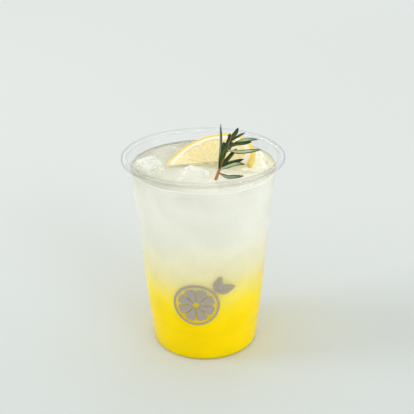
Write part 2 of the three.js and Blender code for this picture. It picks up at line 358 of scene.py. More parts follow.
def placed_object(name, mesh, work, materials, smooth=True):
    """A new object of the mesh, which is filled from the work in hand and given its materials."""
    work.to_mesh(mesh)
    work.free()
    for material in materials:
        mesh.materials.append(material)
    if smooth:
        mesh.shade_smooth()
    piece = bpy.data.objects.new(name, mesh)
    bpy.context.scene.collection.objects.link(piece)
    return piece


def mesh_object(name, points, faces, materials, smooth=True):
    """A new object of these points and faces, with its faces turned out."""
    mesh = bpy.data.meshes.new(name)
    mesh.from_pydata([tuple(p) for p in points], [], faces)
    work = bmesh.new()
    work.from_mesh(mesh)
    bmesh.ops.remove_doubles(work, verts=work.verts, dist=1e-7)
    bmesh.ops.recalc_face_normals(work, faces=work.faces)
    return placed_object(name, mesh, work, materials, smooth)


def dress(piece, slot, *nodes):
    """The piece moves with the cup and stands for these nodes; the slot is not used."""
    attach(piece, "root")
    if nodes:
        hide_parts(*nodes)
    return piece


def apply_modifiers(piece):
    """Makes what the modifiers show the piece's own mesh."""
    graph = bpy.context.evaluated_depsgraph_get()
    result = bpy.data.meshes.new_from_object(piece.evaluated_get(graph))
    piece.modifiers.clear()
    old = piece.data
    piece.data = result
    bpy.data.meshes.remove(old)


def cut_away(piece, cutters):
    """Cuts the piece by closed cutters and removes them."""
    for cutter in cutters:
        cut = piece.modifiers.new("cut", "BOOLEAN")
        cut.operation = "DIFFERENCE"
        cut.solver = "MANIFOLD"
        cut.object = cutter
    bpy.context.view_layer.update()
    apply_modifiers(piece)
    for cutter in cutters:
        bpy.data.objects.remove(cutter)


def turned(outline):
    """Points and faces of an outline of (radius, height) that is swept round the axis and ends on it."""
    points = []
    rings = []
    for r, z in outline:
        count = 1 if r < 1e-9 else ROUND
        rings.append([len(points) + i for i in range(count)])
        for i in range(count):
            turn = math.tau * i / ROUND
            points.append((r * math.cos(turn), r * math.sin(turn), z))
    faces = []
    for low, high in zip(rings, rings[1:]):
        for i in range(ROUND):
            j = (i + 1) % ROUND
            corners = [low[i % len(low)], low[j % len(low)], high[j % len(high)], high[i % len(high)]]
            faces.append([c for k, c in enumerate(corners) if c != corners[k - 1]])
    return points, faces


def prism_faces(count, start=0):
    """Faces of a prism: two ends of this many corners, one listed after the other, and its sides."""
    first = list(range(start, start + count))
    faces = [first, [corner + count for corner in reversed(first)]]
    for i, corner in enumerate(first):
        after = first[(i + 1) % count]
        faces.append([corner, corner + count, after + count, after])
    return faces


def tube_faces(steps, count, start=0):
    """Faces of a closed tube, whose rings of this many points follow each other; its ends come last."""
    faces = []
    for low in range(start, start + steps * count, count):
        for k in range(count):
            n = (k + 1) % count
            faces.append([low + k, low + n, low + n + count, low + k + count])
    last = start + steps * count
    faces.append([start + k for k in range(count)][::-1])
    faces.append([last + k for k in range(count)])
    return faces


def arc(centre, half_width, half_height, start, end, steps):
    """Points along part of an ellipse, its ends in degrees."""
    points = []
    for i in range(steps + 1):
        turn = math.radians(start + (end - start) * i / steps)
        x, y = half_width * math.cos(turn), half_height * math.sin(turn)
        points.append((centre[0] + x, centre[1] + y))
    return points


def moved_in(outline, distance):
    """The outline moved sideways, towards the inside of the cup."""
    moved = []
    for i, (r, z) in enumerate(outline):
        before = Vector(outline[max(i - 1, 0)])
        after = Vector(outline[min(i + 1, len(outline) - 1)])
        run = (after - before).normalized()
        moved.append((0 if r == 0 else r - run.y * distance, z + run.x * distance))
    return moved


# Clear cup


def wall_outline(cup):
    """Outer face of the sheet, from the middle of the raised bottom up to the flare."""
    step_middle = (cup.step_bottom + cup.step_top) / 2
    step_radius = (cup.band_radius + cup.shoulder_radius) / 2
    return [
        (0, cup.recess_height),
        (cup.recess_radius - 1 * MM, cup.recess_height),
        (cup.recess_radius, cup.recess_height - 0.08 * MM),
        (cup.recess_radius + 1 * MM, cup.recess_height - 0.5 * MM),
        (cup.foot_inner - 0.6 * MM, 0.3 * MM),
        (cup.foot_inner, 0),
        *arc((cup.foot_outer, cup.corner), cup.corner, cup.corner, -90, -8, 8),
        (cup.band_radius - 0.05 * MM, cup.step_bottom - 0.6 * MM),
        (cup.band_radius, cup.step_bottom),
        (cup.band_radius + 0.07 * MM, cup.step_bottom + 0.3 * MM),
        (step_radius, step_middle),
        (cup.shoulder_radius - 0.07 * MM, cup.step_top - 0.3 * MM),
        (cup.shoulder_radius, cup.step_top),
        (cup.shoulder_radius + 0.06 * MM, cup.step_top + 0.6 * MM),
        (cup.brim_radius - 0.05 * MM, cup.brim_height - 0.6 * MM),
        (cup.brim_radius, cup.brim_height),
    ]


def curl_outline(cup):
    """Inside of the hollow rolled rim, from the flare round to its free edge."""
    half = (cup.curl_width / 2, cup.curl_height / 2)
    centre = (cup.rim_radius - half[0], cup.height - half[1])
    return arc(centre, half[0] - cup.sheet, half[1] - cup.sheet, 180, -100, 28)


def wall_radius(cup, height, inset=0.0):
    """Radius of the wall at a height, moved in by the inset."""
    wall = [point for point in moved_in(wall_outline(cup), inset) if point[0] > cup.foot_outer]
    for (low_r, low_z), (high_r, high_z) in zip(wall, wall[1:]):
        if height <= high_z:
            share = (height - low_z) / (high_z - low_z)
            return low_r + (high_r - low_r) * share
    return wall[-1][0]


def clear_pet(cup, name, clear_until, edge_on, edge_tint, shadow_tint):
    """Clear PET, thermoformed from sheet: so thin that it hardly bends what is behind it, while its edges
    and gloss show. Seen edge-on there is more of it in the way, so it takes on the edge tint."""
    material, tree = new_material(name)
    slant, steep_slant = (
        add_node(tree, "ShaderNodeLayerWeight", {"Blend": blend}).outputs["Facing"] for blend in (0.5, 0.22)
    )
    tint = mixed(tree, span(tree, slant, 0.7, 1.0), linear("#FFFFFF"), edge_tint)
    straight = add_node(tree, "ShaderNodeBsdfTransparent", {"Color": tint})
    glossy = add_node(tree, "ShaderNodeBsdfPrincipled", {
        "Base Color": tuple(cup.plastic),
        "Roughness": 0.03,
        "IOR": 1.5,
        "Transmission Weight": 1.0,
        "Specular Tint": linear("#A8A8A8"),
    })
    amount = span(tree, steep_slant, clear_until, 1.0, 0.03, edge_on)
    sheet = add_node(tree, "ShaderNodeMixShader", {
        0: amount, 1: straight.outputs[0], 2: glossy.outputs[0],
    })
    finish_material(tree, sheet, shadow_tint)
    return material


class YUZU_OT_clear_cup(bpy.types.Operator):
    """Builds the clear cup with its raised bottom, stacking step and rolled rim"""

    bl_idname = "yuzu.clear_cup"
    bl_label = "Clear cup"

    def execute(self, context):
        cup = context.scene.yuzu_soda.cup
        outer = wall_outline(cup) + curl_outline(cup)
        inner = moved_in(outer, cup.sheet)
        points, faces = turned(outer + inner[::-1])
        piece = mesh_object("clear_cup", points, faces, [
            clear_pet(cup, "clear PET sheet", 0.0, 0.35, linear("#FFFFFF"), linear("#F7F9F8")),
            clear_pet(cup, "rolled PET rim", 0.45, 0.4, linear("#5E6460"), linear("#FDFEFD")),
        ])
        for face in piece.data.polygons:
            away = math.hypot(face.center.x, face.center.y)
            face.material_index = int(away > cup.rim_radius - cup.curl_width + cup.sheet)
        dress(piece, "clear_cup", "cup")
        return {"FINISHED"}


# Printed sign: a citrus wheel with two leaves


def printed_ink(cup):
    """Screen-printed ink: matt, a little uneven where the screen laid it down."""
    material, tree = new_material("matt printed ink")
    grain = mottle(tree, own_place(tree), 1.5 * MM)
    dark = tuple(0.86 * c for c in cup.ink[:3]) + (1,)
    return surfaced(material, {"Base Color": mixed(tree, grain, tuple(cup.ink), dark), "Roughness": 0.55})


def strip_cells(edge_at, rows, columns):
    """Four-cornered cells of a flat shape, given its left and right edge at each share of its length."""
    cells = []
    for k in range(rows):
        low, high = (edge_at(share / rows) for share in (k, k + 1))
        for j in range(columns):
            a, b = j / columns, (j + 1) / columns
            corners = ((low, a), (low, b), (high, b), (high, a))
            cells.append([edge[0].lerp(edge[1], share) for edge, share in corners])
    return cells


def ray(turn, away):
    """A flat point at an angle and distance."""
    return Vector((math.cos(turn), math.sin(turn))) * away


def sign_shapes(radius):
    """Flat cells of the sign, in its own plane: a ring, eight segments and two leaves."""
    ring_inner, wedge_outer, wedge_inner = 0.9 * radius, 0.8 * radius, 0.16 * radius
    ring_steps, wedges = 64, 8

    def ring_edges(share):
        """Inner and outer edge of the ring."""
        return ray(math.tau * share, ring_inner), ray(math.tau * share, radius)

    cells = strip_cells(ring_edges, ring_steps, 1)
    for i in range(wedges):
        middle = math.tau * (i + 0.5) / wedges

        def wedge_edges(share, middle=middle):
            """Both sides of a segment, which is rounded off at its outer end."""
            away = wedge_inner + (wedge_outer - wedge_inner) * share
            half = (math.pi / wedges - 0.06) * min(1, 5 * (1 - share) + 0.6)
            return ray(middle - half, away), ray(middle + half, away)

        cells += strip_cells(wedge_edges, 8, 5)
    for lean, size in ((0.1, 0.9 * radius), (1.25, 0.75 * radius)):
        foot = ray(0.7, 1.08 * radius)
        along, aside = ray(lean, 1), ray(lean + math.pi / 2, 1)
        for side in (-1, 1):

            def leaf_edges(share, side=side, foot=foot, along=along, aside=aside, size=size):
                """Vein and outer edge of half a leaf."""
                vein = foot + along * size * share
                swell = 0.24 * size * math.sin(math.pi * share ** 0.8)
                return vein + aside * side * 0.02 * size, vein + aside * side * (0.02 * size + swell)

            cells += strip_cells(leaf_edges, 10, 3)
    return cells


def wrapped(cup, shapes, lift, depth):
    """Thin solids of flat shapes, laid on the front of the wall."""
    points = []
    faces = []
    for shape in shapes:
        start = len(points)
        for layer in (lift, lift - depth):
            for x, y in shape:
                height = cup.sign_height + y
                r = wall_radius(cup, height) + layer
                turn = -math.pi / 2 + (x - cup.sign_place) / r
                points.append((r * math.cos(turn), r * math.sin(turn), height))
        faces += prism_faces(len(shape), start)
    return points, faces


class YUZU_OT_printed_sign(bpy.types.Operator):
    """Prints a plain citrus wheel with two leaves on the front of the cup"""

    bl_idname = "yuzu.printed_sign"
    bl_label = "Printed sign"

    def execute(self, context):
        cup = context.scene.yuzu_soda.cup
        points, faces = wrapped(cup, sign_shapes(cup.sign_radius), 0.06 * MM, 0.05 * MM)
        piece = mesh_object("printed_sign", points, faces, [printed_ink(cup)], smooth=False)
        dress(piece, "clear_cup")
        return {"FINISHED"}


# Layered drink


def layer_ramp(tree, stops, height):
    """A colour ramp over the drink's height, stirred a little by slow swirls."""
    place = own_place(tree)
    stir = 9 * MM
    drift = mottle(tree, place, 28 * MM, Detail=2.0)
    lifted = reckoned(tree, "MULTIPLY_ADD", drift, stir, coordinate(tree, place, "Z"))
    share = span(tree, lifted, stir / 2, height + stir / 2)
    ramp = add_node(tree, "ShaderNodeValToRGB", {"Fac": share})
    while len(ramp.color_ramp.elements) < len(stops):
        ramp.color_ramp.elements.new(1)
    for element, (position, value) in zip(ramp.color_ramp.elements, stops):
        element.position = position
        element.color = tuple(value)
    return ramp.outputs[0]


def cloudy_soda(drink):
    """Cloudy citrus drink: yellow syrup that thins out upwards into a milky soda, which glows where
    light crosses it. Just under its surface the soda is painted greyer, as painted shade."""
    material, tree = new_material("cloudy layered soda")
    body = layer_ramp(tree, (
        (0.00, drink.syrup), (0.25, linear("#F2D400")), (0.33, linear("#F1D92A")),
        (0.41, linear("#ECDB70")), (0.48, drink.blend), (0.57, linear("#E3DEBC")),
        # The last stops paint the top of the body greyer: painted shade against the light that comes in
        # through the clear surface.
        (0.70, linear("#E2E1D4")), (0.90, linear("#E3E3DA")), (0.96, linear("#DDDDD5")),
        (1.00, drink.soda),
    ), drink.level)
    light = layer_ramp(tree, (
        (0.00, linear("#FFE61C")), (0.30, linear("#F0D83C")), (0.50, linear("#D8CE84")),
        (0.70, linear("#C6C8B4")),
    ), drink.level)
    swirl = mottle(tree, own_place(tree), 17 * MM, Detail=3.0, Distortion=0.4)
    shade = mixed(tree, span(tree, swirl, 0.38, 0.62), linear("#F8F9F8"), linear("#FFFFFF"))
    return surfaced(material, {
        "Base Color": mixed(tree, 1.0, body, shade, "MULTIPLY"),
        "Roughness": 0.2,
        "IOR": 1.33,
        "Specular IOR Level": 0.1,
        "Transmission Weight": 0.08,
        "Subsurface Weight": 0.9,
        "Subsurface Radius": (1.0, 0.95, 0.7),
        "Subsurface Scale": 14 * MM,
    }, light)


def soda_surface():
    """The drink's open surface: glossy and half clear, so what lies just under it still shows."""
    material, _ = new_material("half clear soda surface")
    return surfaced(material, {
        "Base Color": linear("#FCFCF9"),
        "Roughness": 0.04,
        "IOR": 1.22,
        "Transmission Weight": 0.88,
        "Subsurface Weight": 0.6,
        "Subsurface Radius": (1.0, 0.95, 0.8),
        "Subsurface Scale": 10 * MM,
    }, linear("#F1F1EA"))


def cloudy_depth():
    """The cloud under the clear top of the drink: fine pulp that takes all sight of what lies deeper. It is
    painted a little whiter towards the right, as painted light where light crosses the drink."""
    material, tree = new_material("pulp cloud in the soda")
    place = own_place(tree)
    drift = mottle(tree, place, 16 * MM, Detail=3.0)
    # Painted light: the cloud turns whiter towards the right, where light crosses the drink.
    aside = reckoned(tree, "MULTIPLY_ADD", drift, 24 * MM, coordinate(tree, place, "X"))
    painted_light_to_right = span(tree, aside, -14 * MM, 40 * MM)
    return surfaced(material, {
        "Base Color": mixed(tree, painted_light_to_right, linear("#C6C4B1"), linear("#ECEBE2")),
        "Roughness": 0.6,
        "Specular IOR Level": 0.0,
    }, linear("#D8DACC"))


def footprint_distance(point, size, centre, yaw):
    """Distance in the plane from a point to a turned block's sides, negative inside it."""
    turn = Matrix.Rotation(-math.radians(yaw), 2)
    local = turn @ (Vector(point) - Vector(centre[:2]) * MM)
    aside = abs(local.x) - size[0] * MM / 2
    along = abs(local.y) - size[1] * MM / 2
    return math.hypot(max(aside, 0), max(along, 0)) + min(max(aside, along), 0)


def surface_height(drink, x, y, edge):
    """Height of the drink's surface, climbing the wall and the ice, with faint ripples."""
    wall_reach, ice_reach, ice_climb = 1.1 * MM, 1.2 * MM, 0.55 * MM
    ripple_length, ripple_depth = 9 * MM, 0.12 * MM
    from_wall = max(edge - math.hypot(x, y), 0)
    rise = drink.meniscus * math.exp(-from_wall / wall_reach)
    for _, size, centre, yaw, _, _ in SURFACE_ICE:
        gap = footprint_distance((x, y), size, centre, yaw)
        rise += ice_climb * math.exp(-max(gap, 0) / ice_reach)
    ripple = noise.noise(Vector((x, y, 0)) / ripple_length) * ripple_depth
    return drink.level + rise + ripple


class YUZU_OT_layered_drink(bpy.types.Operator):
    """Pours the layered drink"""

    bl_idname = "yuzu.layered_drink"
    bl_label = "Layered drink"

    def execute(self, context):
        settings = context.scene.yuzu_soda
        cup, drink = settings.cup, settings.drink
        inset = cup.sheet - drink.into_wall
        self.pour(cup, drink, inset)
        self.add_cloud(cup, drink, inset)
        return {"FINISHED"}

    def pour(self, cup, drink, inset):
        """The drink's body, from the raised bottom up to its surface."""
        rows, rings, crowding = 24, 60, 1.15
        edge = wall_radius(cup, drink.level, inset)
        sides = [point for point in moved_in(wall_outline(cup), inset) if point[1] < drink.level - 2 * MM]
        low_r, low_z = sides[-1]
        wall = []
        for i in range(1, rows + 1):
            wall.append((low_r + (edge - low_r) * i / rows, low_z + (drink.level - low_z) * i / rows))
        top = [(edge * (1 - (i / rings)) ** crowding, drink.level) for i in range(1, rings)]
        points, faces = turned(sides + wall + top + [(0, drink.level)])
        flat = drink.level - 0.001 * MM
        points = [
            (x, y, surface_height(drink, x, y, edge) if z > flat else z) for x, y, z in points
        ]
        piece = mesh_object("layered_drink", points, faces, [cloudy_soda(drink), soda_surface()])
        for face in piece.data.polygons:
            face.material_index = int(face.normal.z > 0.5 and face.center.z > drink.level - 1 * MM)
        dress(piece, "pale_soda", "syrup", "soda")

    def add_cloud(self, cup, drink, inset):
        """A shallow bowl of cloud under the clear top, whose rim climbs the wall to the surface."""
        thickness, gap, rim_width = 5 * MM, 0.05 * MM, 7 * MM
        top, climb = drink.level - drink.clear_depth, drink.clear_depth
        low, high = (wall_radius(cup, z, inset) - gap for z in (top - thickness, top + climb))
        rim = arc((high - rim_width, top + climb), rim_width, climb, 0, -90, 12)
        points, faces = turned([(0, top - thickness), (low, top - thickness), *rim, (0, top)])
        cloud = mesh_object("soda_cloud", points, faces, [cloudy_depth()])
        dress(cloud, "pale_soda")


# Ice


def clouded_ice(ice, name, grain, detail, clearness, roughness, bending):
    """Ice whose clearness goes from the first value to the second where air is trapped in it."""
    material, tree = new_material(name)
    cloud = mottle(tree, own_place(tree), grain, Detail=detail)
    return surfaced(material, {
        "Base Color": tuple(ice.tint),
        "Roughness": roughness,
        "IOR": bending,
        "Transmission Weight": span(tree, cloud, 0.35, 0.65, *clearness),
    }, linear("#F2F6F6"))


def clear_ice(ice, name, white):
    """Clear wet ice: glassy, with a white cloud inside, as much of it as the share says; the cloud is
    partly trapped air and partly painted light.
    """
    return clouded_ice(ice, name, 7 * MM, 4.0, (1 - 0.4 * white, 1 - white), 0.06, 1.31)


def sunk_ice_material(ice):
    """Ice in the drink: nearly the drink's own refraction, so that only a pale ghost of it shows."""
    return clouded_ice(ice, "ice under the surface", 9 * MM, 2.0, (0.9, 0.55), 0.1, 1.12)


def ice_block(name, size, centre, yaw, lean, ice, material):
    """A rounded block with melted, slightly hollow sides."""
    cuts, dent_length, narrowing = 22, 6 * MM, 0.1
    work = bmesh.new()
    bmesh.ops.create_cube(work, size=2)
    bmesh.ops.subdivide_edges(work, edges=work.edges, cuts=cuts, use_grid_fill=True)
    half = Vector(size) * MM / 2
    corner = min(ice.corner, min(half) * 0.9)
    core = half - Vector((corner,) * 3)
    turn = Matrix.Rotation(math.radians(yaw), 4, "Z") @ Matrix.Rotation(math.radians(lean[1]), 4, "Y")
    place = Matrix.Translation(Vector(centre) * MM) @ turn @ Matrix.Rotation(math.radians(lean[0]), 4, "X")
    for vertex in work.verts:
        point = Vector(a * b for a, b in zip(vertex.co, half))
        inner = Vector(max(-c, min(c, p)) for c, p in zip(core, point))
        out = (point - inner).normalized()
        dent = noise.noise(point / dent_length + Vector(centre)) * ice.waves
        point = inner + out * (corner + dent)
        aside, along, up = (p / (2 * h) for p, h in zip(point, half))
        taper = 1 - narrowing * up + 0.05 * aside * along
        vertex.co = place @ Vector((point.x * taper, point.y * (2 - taper) * 0.98, point.z))
    return placed_object(name, bpy.data.meshes.new(name), work, [material])


class YUZU_OT_surface_ice(bpy.types.Operator):
    """Places the ice that breaks the surface"""

    bl_idname = "yuzu.surface_ice"
    bl_label = "Ice at the surface"

    def execute(self, context):
        ice = context.scene.yuzu_soda.ice
        for name, size, centre, yaw, lean, white in SURFACE_ICE:
            material = clear_ice(ice, "wet " + name.replace("_", " "), white)
            piece = ice_block("wet_" + name, size, centre, yaw, lean, ice, material)
            dress(piece, "ice", name)
        return {"FINISHED"}


class YUZU_OT_sunk_ice(bpy.types.Operator):
    """Places the ice under the surface"""

    bl_idname = "yuzu.sunk_ice"
    bl_label = "Ice under the surface"

    def execute(self, context):
        ice = context.scene.yuzu_soda.ice
        material = sunk_ice_material(ice)
        for number, (size, centre, yaw, lean) in enumerate(SUNK_ICE, 1):
            piece = ice_block(f"sunk_ice_{number}", size, centre, yaw, lean, ice, material)
            dress(piece, "ice")
        return {"FINISHED"}


# Bits of pulp and bubbles


def citrus_pulp():
    """Loose juice sacs: soft, wet and yellow-green, part clear."""
    material, tree = new_material("loose citrus pulp")
    blotches = mottle(tree, own_place(tree), 6 * MM)
    return surfaced(material, {
        "Base Color": mixed(tree, blotches, linear("#E6E4A2"), linear("#F0EDC4")),
        "Roughness": 0.25,
        "IOR": 1.36,
        "Transmission Weight": 0.25,
    })


def gas_bubble():
    """Gas bubble on the drink: a clear film with a small bright spark."""
    material, _ = new_material("clear bubble film")
    return surfaced(material, {
        "Base Color": linear("#FCFDF8"), "Roughness": 0.03, "IOR": 1.33, "Transmission Weight": 0.85,
    }, linear("#F2F4EC"))


def many_drops(name, drops, material):
    """One piece of many small lumps, each given as its middle and its three half sizes."""
    work = bmesh.new()
    for middle, half in drops:
        lump = Matrix.Translation(middle) @ Matrix.Diagonal((*half, 1))
        bmesh.ops.create_icosphere(work, subdivisions=2, radius=1, matrix=lump)
    return placed_object(name, bpy.data.meshes.new(name), work, [material])


def clear_of_ice(x, y, gap):
    """Whether a place on the surface is at least the gap away from the ice."""
    return all(
        footprint_distance((x, y), size, centre, yaw) > gap for _, size, centre, yaw, _, _ in SURFACE_ICE
    )


class YUZU_OT_pulp_and_bubbles(bpy.types.Operator):
    """Scatters bits of pulp and bubbles over the surface"""

    bl_idname = "yuzu.pulp_and_bubbles"
    bl_label = "Pulp and bubbles"

    def execute(self, context):
        settings = context.scene.yuzu_soda
        cup, drink = settings.cup, settings.drink
        chance = random.Random(FLOATING_SEED)
        edge = wall_radius(cup, drink.level, cup.sheet)
        reach = 0.95
        bits = []
        while len(bits) < PULP_BITS:
            away, turn = edge * math.sqrt(chance.random()) * reach, chance.random() * math.tau
            x, y = away * math.cos(turn), away * math.sin(turn)
            if clear_of_ice(x, y, 0.6 * MM):
                size = chance.uniform(0.35, 0.85) * MM
                half = (size * chance.uniform(1, 1.9), size, size * 0.5)
                bits.append((Vector((x, y, drink.level + 0.05 * MM)), half))
        dress(many_drops("pulp_bits", bits, citrus_pulp()), "pale_soda")
        bubbles = []
        while len(bubbles) < BUBBLES:
            size = chance.uniform(0.16, 0.5) * MM
            turn = chance.random() * math.tau
            at_wall = len(bubbles) < WALL_BUBBLES
            away = edge - size * 0.8 if at_wall else edge * math.sqrt(chance.random()) * reach
            x, y = away * math.cos(turn), away * math.sin(turn)
            if clear_of_ice(x, y, 0.2 * MM):
                bubbles.append((Vector((x, y, drink.level + size * 0.3)), (size,) * 3))
        dress(many_drops("surface_bubbles", bubbles, gas_bubble()), "pale_soda")
        return {"FINISHED"}


# Citrus slice


def slice_place(citrus):
    """Where the slice lies: its own X and Y run along its upper face."""
    lean = Matrix.Rotation(-citrus.lean_right, 4, "Y") @ Matrix.Rotation(citrus.lean_back, 4, "X")
    return Matrix.Translation(Vector(citrus.centre)) @ lean


def citrus_rind(citrus):
    """Citrus rind: oily yellow skin with fine pores of oil glands, glossy where wet."""
    material, tree = new_material("oily citrus rind")
    pores = add_node(tree, "ShaderNodeTexVoronoi", {
        "Vector": own_place(tree), "Scale": 1 / (0.9 * MM),
    }).outputs["Distance"]
    return surfaced(material, {
        "Base Color": mixed(tree, pores, tuple(citrus.rind_colour), linear("#DEC44A")),
        "Roughness": 0.35,
        "Coat Weight": 0.4,
        "Coat Roughness": 0.1,
        "Subsurface Weight": 0.15,
        "Subsurface Radius": (2 * MM, 1.4 * MM, 0.5 * MM),
        "Subsurface Scale": 1.0,
        "Normal": bumped(tree, pores, 0.5, 0.2 * MM),
    }, linear("#E8DCA8"))


def citrus_pith(citrus):
    """Pith and membranes: white and fibrous under the skin, thin, yellower and part clear between the
    segments."""
    material, tree = new_material("soft citrus pith")
    place = own_place(tree)
    fibre = mottle(tree, place, 1.2 * MM, Detail=4.0)
    white = mixed(tree, fibre, tuple(citrus.pith_colour), linear("#E4DBC0"))
    outwards = span(tree, distance_out(tree, place), citrus.radius * 0.7, citrus.radius * 0.85)
    return surfaced(material, {
        "Base Color": mixed(tree, outwards, linear("#DED2A2"), white),
        "Roughness": 0.5,
        "Subsurface Weight": 0.3,
        "Subsurface Radius": (3 * MM, 2.6 * MM, 1.6 * MM),
        "Subsurface Scale": 1.0,
        "Normal": bumped(tree, fibre, 0.4, 0.15 * MM),
    }, linear("#F2ECC8"))


def citrus_flesh(citrus):
    """Juice sacs: wet, pale yellow and part clear, with paler walls between the sacs."""
    material, tree = new_material("wet citrus flesh")
    place = own_place(tree)
    turn = reckoned(tree, "ARCTAN2", coordinate(tree, place, "Y"), coordinate(tree, place, "X"))
    polar = add_node(tree, "ShaderNodeCombineXYZ", {
        "X": reckoned(tree, "MULTIPLY", distance_out(tree, place), 1 / SAC_LENGTH),
        "Y": reckoned(tree, "MULTIPLY", turn, SACS_ROUND),
    })
    sacs = add_node(tree, "ShaderNodeTexVoronoi", {
        "Vector": polar.outputs[0], "Scale": 1.0,
    }, feature="DISTANCE_TO_EDGE")
    inside = span(tree, sacs.outputs["Distance"], 0.02, 0.16)
    return surfaced(material, {
        "Base Color": mixed(tree, inside, linear("#DDD2A0"), tuple(citrus.flesh_colour)),
        "Roughness": 0.22,
        "IOR": 1.36,
        "Coat Weight": 0.5,
        "Coat Roughness": 0.05,
        "Subsurface Weight": 0.5,
        "Subsurface Radius": (4 * MM, 3.4 * MM, 1.4 * MM),
        "Subsurface Scale": 1.0,
    }, linear("#F8F2CC"))


def cut_line(citrus, share):
    """A point on the curved cut edge of the slice, from one end of its rim to the other."""
    ends = [ray(turn, citrus.radius) for turn in (citrus.cut_from, citrus.cut_to)]
    inward = ray((citrus.cut_from + citrus.cut_to) / 2, citrus.cut_hollow)
    return ends[0].lerp(ends[1], share) + inward * 4 * share * (1 - share)


def cut_half(citrus, piece):
    """Takes off what lies past the cut edge."""
    steps, past = 24, 2 * MM
    away = -ray((citrus.cut_from + citrus.cut_to) / 2, citrus.radius) * 1.5
    edge = [cut_line(citrus, -0.1 + 1.2 * i / steps) for i in range(steps + 1)]
    outline = edge + [edge[-1] + away, edge[0] + away]
    points = [(x, y, z) for z in (past, -citrus.thickness - past) for x, y in outline]
    cutter = mesh_object("past_the_cut", points, prism_faces(len(outline)), [], smooth=False)
    cut_away(piece, [cutter])


def ring_outline(inner, outer, top, bottom, rounding):
    """Closed outline of a band between two radii with rounded outer corners."""
    return [
        (inner, bottom),
        *arc((outer - rounding, bottom + rounding), rounding, rounding, -90, 0, 5),
        *arc((outer - rounding, top - rounding), rounding, rounding, 0, 90, 5),
        (inner, top),
    ]


def turned_ring(outline):
    """Points and faces of a closed outline swept right round the axis."""
    points = []
    for i in range(ROUND):
        turn = math.tau * i / ROUND
        points += [(r * math.cos(turn), r * math.sin(turn), z) for r, z in outline]
    count = len(outline)
    faces = []
    for i in range(ROUND):
        for k in range(count):
            a, b = i * count, ((i + 1) % ROUND) * count
            faces.append([a + k, b + k, b + (k + 1) % count, a + (k + 1) % count])
    return points, faces


def segment_grid(citrus, middle, half_angle, grow, top, bottom, relief):
    """One segment of flesh: a wedge with a rounded outer end, its faces raised by the relief."""
    outer = citrus.radius - citrus.rind - citrus.pith + grow
    start = (citrus.membrane / 2 - grow) / math.sin(half_angle)
    rows, columns = 46, 30
    layers = ([], [])
    for i in range(rows + 1):
        share = i / rows
        for j in range(columns + 1):
            side = 2 * j / columns - 1
            bulge = 1 - 0.09 * abs(side) ** 4
            away = start + (outer * bulge - start) * share
            width = away * math.sin(half_angle) - (citrus.membrane / 2 - grow)
            across = side * max(width, 0.02 * MM)
            along = math.sqrt(max(away * away - across * across, 0)) if share > 0.5 else away
            turn = Matrix.Rotation(middle, 2)
            x, y = turn @ Vector((along, across))
            lift = relief(x, y, min(1, 6 * share, 8 * (1 - share), 8 * (1 - abs(side))))
            layers[0].append((x, y, top + lift))
            layers[1].append((x, y, bottom - lift))
    points = layers[0] + layers[1]
    count = len(layers[0])
    wide = columns + 1
    faces = []
    for i in range(rows):
        for j in range(columns):
            a = i * wide + j
            faces.append([a, a + 1, a + wide + 1, a + wide])
            faces.append([count + a, count + a + wide, count + a + wide + 1, count + a + 1])
    rim = [i * wide for i in range(rows + 1)] + [rows * wide + j for j in range(1, wide)]
    rim += [i * wide + columns for i in range(rows - 1, -1, -1)] + list(range(columns - 1, 0, -1))
    for a, b in zip(rim, rim[1:] + rim[:1]):
        faces.append([a, b, b + count, a + count])
    return points, faces


def sac_relief(x, y, fade):
    """Height of the juice sacs, long and narrow outwards from the middle."""
    away = math.hypot(x, y)
    turn = math.atan2(y, x)
    nearest = noise.voronoi(Vector((away / SAC_LENGTH, turn * SACS_ROUND, 0)))[0][0]
    return fade * (0.2 * MM - 0.16 * MM * nearest)


def no_relief(x, y, fade):
    """Height of a plain face, which has no relief anywhere."""
    return 0


class YUZU_OT_citrus_slice(bpy.types.Operator):
    """Lays the half slice of citrus on the ice"""

    bl_idname = "yuzu.citrus_slice"
    bl_label = "Citrus slice"

    def execute(self, context):
        citrus = context.scene.yuzu_soda.citrus
        pieces = (self.make_rind(citrus), *self.make_segments(citrus))
        for piece in pieces:
            cut_half(citrus, piece)
            piece.data.shade_smooth()
            piece.data.set_sharp_from_angle(angle=math.radians(45))
            piece.matrix_world = slice_place(citrus)
            dress(piece, "citrus", "citrus_slice")
        return {"FINISHED"}

    def make_rind(self, citrus):
        """The whole ring of skin, which reaches a little over the pith."""
        inner = citrus.radius - citrus.rind - 0.2 * MM
        points, faces = turned_ring(ring_outline(inner, citrus.radius, 0, -citrus.thickness, 0.6 * MM))
        return mesh_object("slice_rind", points, faces, [citrus_rind(citrus)])

    def make_segments(self, citrus):
        """The whole round of pith with a room for each segment, and the flesh in the rooms."""
        segments, first = 9, math.radians(-58)
        step = math.tau / segments
        pith_depth, flesh_depth, flesh_overlap, past = 0.1 * MM, 0.35 * MM, 0.08 * MM, 0.4 * MM
        white_radius, low = citrus.radius - citrus.rind, -citrus.thickness
        points, faces = turned([
            (0, low + pith_depth), (white_radius, low + pith_depth), (white_radius, -pith_depth),
            (0, -pith_depth),
        ])
        pith = mesh_object("slice_pith", points, faces, [citrus_pith(citrus)], smooth=False)
        rooms = []
        flesh_points, flesh_faces = [], []
        for i in range(segments):
            middle = first + (i + 0.5) * step
            points, faces = segment_grid(citrus, middle, step / 2, 0, past, low - past, no_relief)
            rooms.append(mesh_object(f"room_{i}", points, faces, [], smooth=False))
            points, faces = segment_grid(
                citrus, middle, step / 2, flesh_overlap, -flesh_depth, low + flesh_depth, sac_relief
            )
            offset = len(flesh_points)
            flesh_points += points
            flesh_faces += [[corner + offset for corner in face] for face in faces]
        cut_away(pith, rooms)
        flesh = mesh_object("slice_flesh", flesh_points, flesh_faces, [citrus_flesh(citrus)])
        return pith, flesh


# Rosemary


def needle_tone(tree):
    """How light each point of a needle is, kept on its mesh: painted highlight stripes on the upper face,
    pale felt underneath.
    """
    return add_node(tree, "ShaderNodeAttribute", attribute_name="needle_tone").outputs["Fac"]


